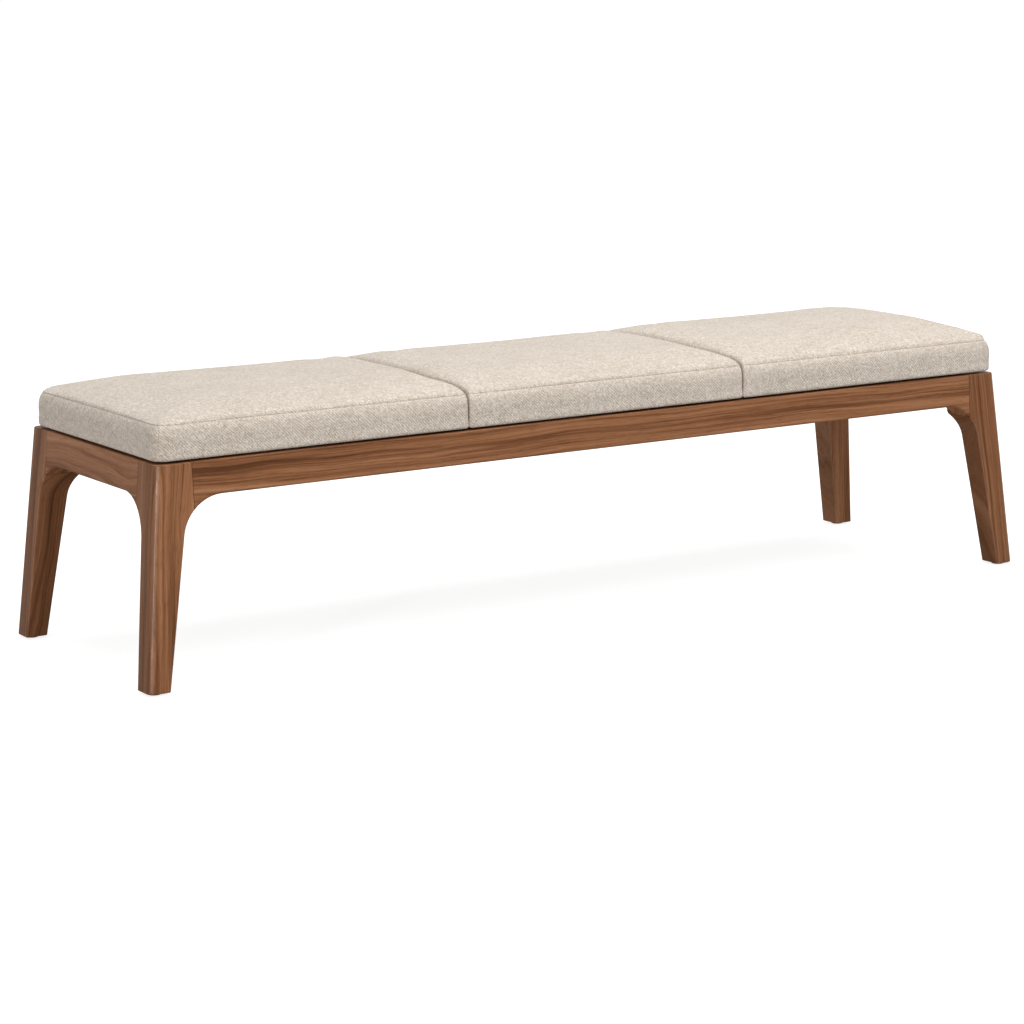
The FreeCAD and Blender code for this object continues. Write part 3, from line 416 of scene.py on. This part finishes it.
# a seam's section: share of its depth, height, share of the border's lean
SEAM_PROFILE = ((0.0, -0.0022, 0.80), (0.08, -0.0014, 0.87), (0.50, -0.0007, 0.94), (1.0, 0.0, 1.0),
                (0.65, 0.0006, 1.06), (0.08, 0.0013, 1.12), (-0.08, 0.0021, 1.18))
# rings of a pad: underside, hem, border, and the crown from its rim to its middle
UNDERSIDE_SHARES = (0.04, 0.2, 0.4, 0.6, 0.8, 0.92, 0.975)
HEM_TURNS = np.radians(np.arange(0, 91, 15))
BORDER_RINGS, BELOW_SEAM = 15, 0.0030
# a border leans in from this share of its height, over that share, with this power
LEAN_FROM, LEAN_OVER, LEAN_POWER = 0.55, 0.45, 2.8
# the least height of the crown close to its rim: at the rim, its slope and its reach
RIM_FLOOR, RIM_SLOPE, RIM_REACH = 0.0021, 0.6, 0.003
CROWN_INSETS = (0.0012, 0.0026, 0.0042, 0.0062, 0.0085, 0.0115, 0.0155, 0.0205, 0.027, 0.035, 0.045, 0.058)
TOP_SHARES, TOP_CORNERS = np.linspace(0.93, 0.04, 13), 0.040
# along x: low end, high end, and whether each is open
PAD_SPANS = {
    "left": (-END_X, -JOINT_AT - HALF_GAP, True, False),
    "centre": (-JOINT_AT + HALF_GAP, JOINT_AT - HALF_GAP, False, False),
    "right": (JOINT_AT + HALF_GAP, END_X, False, True),
}


def ease(value):
    """A smooth step from 0 to 1."""
    value = np.clip(value, 0.0, 1.0)
    return value * value * (3.0 - 2.0 * value)


def edge_values(pad, side, open_end, joint):
    """One value for a pad's front and back, and one for each of its ends."""
    _, _, open_low, open_high = PAD_SPANS[pad]
    return side, open_end if open_low else joint, open_end if open_high else joint


def plan_ring(pad, insets=(0.0, 0.0, 0.0), tighten=0.0, step=FINE_STEP):
    """A closed line round a pad in plan, drawn in by insets at its sides and ends, with rounder or tighter
    corners. Returns its points, their outward normals and how far each is from a corner seam."""
    low, high, open_low, open_high = PAD_SPANS[pad]
    radii = [JOINT_CORNER] * 4
    if open_low:
        radii[3], radii[2] = LEFT_CORNERS
    if open_high:
        radii[0], radii[1] = RIGHT_CORNERS
    across, along = round((high - low) / step), round(2 * HALF_Y / step)
    low, high, y = low + insets[1], high - insets[2], HALF_Y - insets[0]
    spots, normals, seams = [], [], []
    corners = ((high, -y, -90), (high, y, 0), (low, y, 90), (low, -y, 180))
    opens = (open_high, open_high, open_low, open_low)
    draws = (SIDE_DRAW, SIDE_DRAW * open_high, SIDE_DRAW, SIDE_DRAW * open_low)
    tight = [max(radius - tighten, min(radius, 0.003)) for radius in radii]
    for number, ((x, y_at, begin), is_open, radius, full) in enumerate(zip(corners, opens, tight, radii)):
        begin = math.radians(begin)
        facing = np.array([math.cos(begin), math.sin(begin)])
        ahead = np.array([-facing[1], facing[0]])
        corner = np.array([x, y_at])
        before = np.array(corners[number - 1][:2])
        start, stop = before + ahead * tight[number - 1], corner - ahead * radius
        count = across if number in (0, 2) else along
        shares = np.arange(count) / count
        length = np.linalg.norm(stop - start)
        draw = draws[number]
        drawn = draw * (1 - (2 * shares - 1) ** 2)
        spots.append(start + np.outer(shares, stop - start) - np.outer(drawn, facing))
        lean = facing - np.outer(draw * 4 * (2 * shares - 1) / length, ahead)
        normals.append(lean / np.linalg.norm(lean, axis=1)[:, None])
        seams.append(np.ones(count))
        offsets = np.linspace(0, math.pi / 2, CORNER_POINTS, endpoint=False)
        if is_open:
            offsets = np.union1d(np.round(offsets, 6), np.round(math.pi / 4 + CORNER_SEAM / full, 6))
        turned = np.outer(np.cos(offsets), facing) + np.outer(np.sin(offsets), ahead)
        spots.append(corner - (facing + ahead) * radius + turned * radius)
        normals.append(turned)
        seams.append(np.abs(offsets - math.pi / 4) * full if is_open else np.ones(len(offsets)))
    return np.concatenate(spots), np.concatenate(normals), np.concatenate(seams)


def crown(pad, flat):
    """How far a pad's top stands over its seam at points of the plan, in metres."""
    low, high, open_low, open_high = PAD_SPANS[pad]
    x, y = flat[:, 0], flat[:, 1]
    gaps = [y + HALF_Y, HALF_Y - y]
    edges = [FRONT_EDGE, BACK_EDGE]
    end = np.full(len(x), 1.0)
    corners = RIGHT_CORNERS if open_high else LEFT_CORNERS
    radius = np.where(y < 0, corners[0], corners[1])
    if open_low:
        gaps.append(x - low)
        edges.append(LEFT_EDGE)
        end = x - low
    if open_high:
        gaps.append(high - x)
        edges.append(RIGHT_EDGE)
        end = high - x
    side = np.minimum(gaps[0], gaps[1])
    inside = np.maximum(radius - np.stack([side, end]), 0.0)
    near = np.where((inside > 0).all(0), radius - np.linalg.norm(inside, axis=0), np.minimum(side, end))
    gaps = np.maximum(np.stack(gaps), 0.0)
    weight = 1.0 / (gaps + EDGE_BLEND) ** 2
    weight /= weight.sum(0)
    share, quick, _, lean = (np.array(edges).T[:, :, None] * weight).sum(1)
    slow = np.prod([1 - (1 - np.minimum(gap / edge[2], 1.0)) ** 2 for gap, edge in zip(gaps, edges)], axis=0)
    share = share * (1 - CORNER_FALL[0] * np.exp(-(side ** 2 + end ** 2) / CORNER_FALL[1]))
    height = share * (1 - np.exp(-np.maximum(near - lean + RIM_START, 0.0) / quick)) + (1 - share) * slow
    most, length, rest, reach = JOINT_FALL
    for gap, is_open in ((x - low, open_low), (high - x, open_high)):
        if not is_open:
            gap = np.maximum(gap, 0.0)
            risen = most * (1 - np.exp(-(gap + JOINT_START) / length)) + rest * ease(gap / reach)
            height = height * risen
    return CROWN_RISE[pad] * height


def pad_form(pad, shrink=0.0, step=FINE_STEP):
    """A pad's closed form in rings, from the middle of its underside round to the middle of its top.
    Returns its points, its faces, and what the seams and stitches need to know of the rings."""
    low, high = PAD_SPANS[pad][:2]
    _, normals, seams = plan_ring(pad, step=step)
    count = len(normals)
    middle = np.array([(low + high) / 2, 0.0])
    lean = np.array(edge_values(pad, FRONT_EDGE[3], LEFT_EDGE[3], JOINT_SHOULDER))
    bulges = np.array(edge_values(pad, SIDE_BULGE, END_BULGE[pad], SIDE_BULGE))
    at_end = np.abs(normals[:, 0]) > 0.8
    depths = edge_values(pad, SEAM_DEPTH * 0.8, SEAM_DEPTH, 0.0)
    depth = np.where(at_end, np.where(normals[:, 0] > 0, depths[2], depths[1]), depths[0])
    rings, belt = [], []

    def add(insets, z, on_side=0.0, small=shrink, tighten=None, deep=0.0, factor=None):
        insets = np.array(insets) + small
        flat = plan_ring(pad, insets, insets.mean() if tighten is None else tighten, step)[0]
        flat = flat - normals * np.broadcast_to(deep, count)[:, None]
        if factor is not None:
            flat = middle + (flat - middle) * factor
        rings.append(np.column_stack([flat, np.broadcast_to(z(flat) if callable(z) else z, count)]))
        belt.append(np.full(count, on_side))

    for factor in UNDERSIDE_SHARES:
        add([HEM] * 3, FLANGE_Z, small=0.0, factor=factor)
    for turn in HEM_TURNS:
        add([HEM * (1 - math.sin(turn))] * 3, FLANGE_Z + HEM * (1 - math.cos(turn)), small=0.0)
    for height in np.linspace(HEM, BAND - BELOW_SEAM, BORDER_RINGS)[1:]:
        bulge = -bulges * math.sin(math.pi * (height - HEM) / (BAND - HEM))
        share = (max(0.0, height / BAND - LEAN_FROM) / LEAN_OVER) ** LEAN_POWER
        add(bulge + lean * share, FLANGE_Z + height, 1.0, shrink * float(ease((height - HEM) / 0.015)))
    for deep, rise, share in SEAM_PROFILE:
        if rise == 0.0:
            seam_ring = len(rings)
        add(lean * share, SEAM_Z + rise, deep=deep * depth)
    rim = lean * SEAM_PROFILE[-1][2]

    def top(flat, floor=0.0):
        return SEAM_Z + np.maximum(crown(pad, flat) - shrink, floor)

    for inset in CROWN_INSETS:
        floor = RIM_FLOOR + RIM_SLOPE * inset if inset < RIM_REACH else 0.0
        add(rim + inset, lambda flat: top(flat, floor), tighten=rim.mean() + 0.6 * inset)
    for factor in TOP_SHARES:
        add(rim + CROWN_INSETS[-1], top, tighten=TOP_CORNERS, factor=factor)
    faces = []
    index = np.arange(count)
    other = (index + 1) % count
    for level in range(len(rings) - 1):
        below, above = level * count, (level + 1) * count
        faces += np.column_stack([below + index, below + other, above + other, above + index]).tolist()
    faces.append(index[::-1].tolist())
    faces.append((index + (len(rings) - 1) * count).tolist())
    sets = {"belt": np.concatenate(belt), "seam": np.tile(seams, len(rings)),
            "normal": np.tile(normals, (len(rings), 1)), "ring": (seam_ring * count, (seam_ring + 1) * count)}
    return np.concatenate(rings), faces, sets


def mesh_object(name, vertices, faces, material=None, shade=True):
    """Build a mesh and put it in the scene."""
    mesh = bpy.data.meshes.new(name)
    mesh.from_pydata(np.asarray(vertices, float).tolist(), [], faces)
    mesh.validate()
    if shade:
        mesh.shade_smooth()
    if material:
        mesh.materials.append(material)
    piece = bpy.data.objects.new(name, mesh)
    scene.collection.objects.link(piece)
    return piece


def points_of(mesh):
    """A mesh's points as an array."""
    spots = np.empty(len(mesh.vertices) * 3, np.float32)
    mesh.vertices.foreach_get("co", spots)
    return spots.reshape(-1, 3).astype(float)


def evaluated(piece):
    """A piece's mesh after its modifiers."""
    return piece.evaluated_get(bpy.context.evaluated_depsgraph_get()).data


START_SHRINK, SWELL_CAP, VOXEL, EVEN_ROUNDS = 0.0015, 0.005, 0.006, 16
CLOTH_FRAMES = 20
CLOTH = {"quality": 4, "mass": 0.35, "tension_stiffness": 30.0, "compression_stiffness": 30.0,
         "shear_stiffness": 12.0, "bending_stiffness": 3.0, "use_pressure": True,
         "uniform_pressure_force": 4.0, "vertex_group_mass": "held"}
# a pad is held firmly up to this height, and in part within this band and reach of its seam
HELD_HEIGHT, SEAM_BAND, SEAM_REACH, SEAM_HOLD = 0.010, 0.0045, 0.012, 0.55


def swelling(pad):
    """Blow a slightly small copy of a pad up as cloth. Returns its points at the start and their moves."""
    vertices, faces, _ = pad_form(pad, START_SHRINK, COARSE_STEP)
    trial = mesh_object(f"start_{pad}", vertices, faces)
    remesh = trial.modifiers.new("remesh", "REMESH")
    remesh.mode = "VOXEL"
    remesh.voxel_size = VOXEL
    mesh = bpy.data.meshes.new_from_object(trial.evaluated_get(bpy.context.evaluated_depsgraph_get()))
    trial.modifiers.clear()
    trial.data = mesh
    rest = points_of(mesh)
    spots = plan_ring(pad, step=COARSE_STEP)[0]
    tree = KDTree(len(spots))
    for index, spot in enumerate(spots):
        tree.insert((*spot, 0.0), index)
    tree.balance()
    pins = trial.vertex_groups.new(name="held")
    for index, (x, y, z) in enumerate(rest):
        if z < FLANGE_Z + HELD_HEIGHT:
            pins.add([index], 1.0, "REPLACE")
        elif abs(z - SEAM_Z) < SEAM_BAND and tree.find((x, y, 0.0))[2] < SEAM_REACH:
            pins.add([index], SEAM_HOLD, "REPLACE")
    cloth = trial.modifiers.new("cloth", "CLOTH")
    for name, value in CLOTH.items():
        setattr(cloth.settings, name, value)
    cloth.settings.effector_weights.gravity = 0.0
    cloth.collision_settings.use_collision = False
    for number in range(1, CLOTH_FRAMES + 1):
        scene.frame_set(number)
    moves = points_of(evaluated(trial)) - rest
    scene.frame_set(1)
    bpy.data.objects.remove(trial)
    far = np.linalg.norm(moves, axis=1)
    moves *= np.minimum(1.0, SWELL_CAP / np.maximum(far, 1e-9))[:, None]
    ends = np.empty(len(mesh.edges) * 2, np.int32)
    mesh.edges.foreach_get("vertices", ends)
    first, second = ends.reshape(-1, 2).T
    shared = np.bincount(ends, minlength=len(rest))[:, None]
    for _ in range(EVEN_ROUNDS):
        total = np.zeros_like(moves)
        np.add.at(total, first, moves[second])
        np.add.at(total, second, moves[first])
        moves = 0.5 * moves + 0.5 * total / shared
    return rest, moves


def swell(vertices, rest, moves):
    """Carry the simulated moves over to a finer form."""
    tree = KDTree(len(rest))
    for index, spot in enumerate(rest):
        tree.insert(spot, index)
    tree.balance()
    moved = np.empty_like(vertices)
    for index, spot in enumerate(vertices):
        near = tree.find_n(spot, 6)
        weights = np.array([1.0 / (distance + 0.002) ** 2 for _, _, distance in near])
        moved[index] = spot + weights @ moves[[number for _, number, _ in near]] / weights.sum()
    return moved


STITCH, STITCH_SHARE, STITCH_SIDES, STITCH_RADIUS = 0.0065, 0.66, 6, 0.00038
# along a stitch: its thickness as a share of its radius, and its place out of the seam as one of its width
STITCH_TAPER, STITCH_LIFT = (0.35, 0.85, 1.0, 0.85, 0.35), (-0.3, 0.5, 0.8, 0.5, -0.3)
# no stitch is made closer than this to a joint between pads
CLOSED_REACH = 0.012


def stitches(pad, ring, material):
    """Short threads in the seam, all along a pad's open sides."""
    low, high, open_low, open_high = PAD_SPANS[pad]
    loop = np.vstack([ring, ring[:1]])
    run = np.concatenate([[0.0], np.cumsum(np.linalg.norm(np.diff(loop, axis=0), axis=1))])
    spots, faces = [], []
    total = int(run[-1] / STITCH)
    turns = np.arange(STITCH_SIDES) * 2 * math.pi / STITCH_SIDES
    middle = np.array([(low + high) / 2, 0.0])
    for number in range(total):
        places = (number + np.linspace(-0.5, 0.5, len(STITCH_TAPER)) * STITCH_SHARE) * run[-1] / total
        line = np.column_stack([np.interp(places % run[-1], run, loop[:, axis]) for axis in range(3)])
        x, y, _ = line[2]
        if (abs(x - low) < CLOSED_REACH and not open_low) or (abs(x - high) < CLOSED_REACH and not open_high):
            continue
        ahead = line[-1] - line[0]
        ahead /= np.linalg.norm(ahead)
        out = np.cross(ahead, (0.0, 0.0, 1.0))
        out /= np.linalg.norm(out)
        if out[:2] @ (line[2][:2] - middle) < 0:
            out = -out
        rise = np.cross(out, ahead)
        first = len(spots)
        for place, thick, lift in zip(line, STITCH_TAPER, STITCH_LIFT):
            centre = place + out * lift * STITCH_RADIUS * 2
            for turn in turns:
                spots.append(centre + (out * math.cos(turn) + rise * math.sin(turn)) * STITCH_RADIUS * thick)
        parts = len(STITCH_TAPER) - 1
        for part in range(parts):
            ring_at = first + part * STITCH_SIDES
            for side in range(STITCH_SIDES):
                a, b = ring_at + side, ring_at + (side + 1) % STITCH_SIDES
                faces.append((a, b, b + STITCH_SIDES, a + STITCH_SIDES))
        faces.append(tuple(range(first + STITCH_SIDES - 1, first - 1, -1)))
        faces.append(tuple(range(first + parts * STITCH_SIDES, first + (parts + 1) * STITCH_SIDES)))
    seam = mesh_object(f"seam_thread_{pad}", spots, faces, material)
    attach(seam, "root")


# puckers: their pitch, how far they run in from an edge, and how far they stand up
PUCKER, PUCKER_REACH, PUCKER_RISE = 0.048, 0.022, 0.0004


def pulled_cloth(low, high, step=0.006):
    """The cloth under a pad, pulled flat, with shallow puckers along its fixed edges."""
    across = np.linspace(low[0], high[0], int(round((high[0] - low[0]) / step)) + 1)
    along = np.linspace(low[1], high[1], int(round((high[1] - low[1]) / step)) + 1)
    x, y = np.meshgrid(across, along)
    from_x, from_y = np.minimum(x - low[0], high[0] - x), np.minimum(y - low[1], high[1] - y)
    pucker = (0.5 - 0.5 * np.cos(2 * math.pi * (y - low[1]) / PUCKER)) * np.exp(-from_x / PUCKER_REACH)
    pucker += (0.5 - 0.5 * np.cos(2 * math.pi * (x - low[0]) / PUCKER)) * np.exp(-from_y / PUCKER_REACH)
    spots = np.column_stack([x.ravel(), y.ravel(), (low[2] + PUCKER_RISE * np.minimum(pucker, 1.0)).ravel()])
    rows, columns = x.shape
    starts = [row * columns + column for row in range(rows - 1) for column in range(columns - 1)]
    return spots, [(at, at + columns, at + columns + 1, at + 1) for at in starts]


# depth and width of the seam down a corner
CORNER_GROOVE = 0.0010
sewing = thread("sewing_thread")
twill, non_woven = upholstery("oatmeal_twill"), dust_cloth("black_non_woven")
for pad in PADS:
    vertices, faces, sets = pad_form(pad, START_SHRINK)
    vertices = swell(vertices, *swelling(pad))
    groove = CORNER_GROOVE * np.exp(-(sets["seam"] / CORNER_GROOVE) ** 2) * sets["belt"]
    vertices[:, :2] -= sets["normal"] * groove[:, None]
    cushion = mesh_object(f"cushion_{pad}", vertices, faces, twill)
    stitches(pad, vertices[slice(*sets["ring"])], sewing)
    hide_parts(f"seat_cover_{pad}", f"seat_foam_{pad}")
    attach(cushion, "root")
    low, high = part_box(f"seat_lining_{pad}")
    sheet = mesh_object(f"dust_cloth_{pad}", *pulled_cloth(low, high), non_woven)
    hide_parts(f"seat_lining_{pad}")
    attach(sheet, "root")


# Floor, light and background
FLOOR_TONE, FLOOR_GLOW, FLOOR_REACH = (0.45, 0.45, 0.45), 0.84, 90.0
WHITE = (1.0, 1.0, 1.0, 1.0)


def make_floor():
    """A pale floor that shows white where no shadow falls, and lights the part only as its tone does."""
    g = Graph("floor")
    path = g.node("LightPath").outputs
    mirrored = g.math("MAXIMUM", path["Is Glossy Ray"], path["Is Transmission Ray"])
    seen = g.math("MAXIMUM", path["Is Camera Ray"], mirrored)
    soft = g.node("BsdfDiffuse", {"Color": FLOOR_TONE})
    glow = g.node("Emission", {"Color": WHITE, "Strength": g.math("MULTIPLY", seen, FLOOR_GLOW)})
    both = g.node("AddShader")
    g.feed(both.inputs[0], soft.outputs[0])
    g.feed(both.inputs[1], glow.outputs[0])
    g.feed(g.output.inputs[0], both.outputs[0])
    corners = [(x * FLOOR_REACH, y * FLOOR_REACH, 0) for x, y in ((-1, -1), (1, -1), (1, 1), (-1, 1))]
    floor = mesh_object("floor", corners, [(0, 1, 2, 3)], g.material, shade=False)


def make_world(level):
    """White where it is seen, also in reflections and through glass, and a plain level where it lights."""
    world = bpy.data.worlds.new("studio")
    world.use_nodes = True
    tree = world.node_tree
    tree.nodes.clear()
    output = tree.nodes.new("ShaderNodeOutputWorld")
    path = tree.nodes.new("ShaderNodeLightPath")
    seen = path.outputs["Is Camera Ray"]
    for ray in ("Is Glossy Ray", "Is Transmission Ray"):
        either = tree.nodes.new("ShaderNodeMath")
        either.operation = "MAXIMUM"
        tree.links.new(seen, either.inputs[0])
        tree.links.new(path.outputs[ray], either.inputs[1])
        seen = either.outputs[0]
    shown, lit = tree.nodes.new("ShaderNodeBackground"), tree.nodes.new("ShaderNodeBackground")
    shown.inputs["Color"].default_value = WHITE
    shown.inputs["Strength"].default_value = 1.0
    lit.inputs["Color"].default_value = WHITE
    lit.inputs["Strength"].default_value = level
    mix = tree.nodes.new("ShaderNodeMixShader")
    tree.links.new(seen, mix.inputs[0])
    tree.links.new(lit.outputs[0], mix.inputs[1])
    tree.links.new(shown.outputs[0], mix.inputs[2])
    tree.links.new(mix.outputs[0], output.inputs[0])
    scene.world = world


# name, place, aim, size, watts and colour
LAMPS = (
    ("key", (1.0, -2.5, 4.4), (0.3, 0.0, 0.3), (3.6, 3.0), 163.0, WHITE[:3]),
    ("fill", (-8.4, -4.6, 1.4), (0.0, 0.0, 0.3), (0.7, 3.0), 212.0, (1.0, 0.94, 0.87)),
    ("strip", (-3.95, -4.35, 0.6), (-0.9, -0.25, 0.2), (0.22, 1.0), 26.0, WHITE[:3]),
    ("top", (0.2, 0.3, 4.2), (0.2, 0.2, 0.4), (4.0, 2.4), 74.0, WHITE[:3]),
)
WORLD_LEVEL = 0.40


def make_lamp(name, at, towards, size, watts, colour):
    """A rectangular lamp aimed at a place."""
    data = bpy.data.lights.new(name, "AREA")
    data.color = colour
    data.shape = "RECTANGLE"
    data.size, data.size_y = size
    data.energy = watts
    lamp = bpy.data.objects.new(name, data)
    lamp.location = at
    lamp.rotation_euler = (Vector(towards) - Vector(at)).to_track_quat("-Z", "Y").to_euler()
    scene.collection.objects.link(lamp)


make_floor()
make_world(WORLD_LEVEL)
for lamp in LAMPS:
    make_lamp(*lamp)
scene.view_settings.view_transform = "Standard"
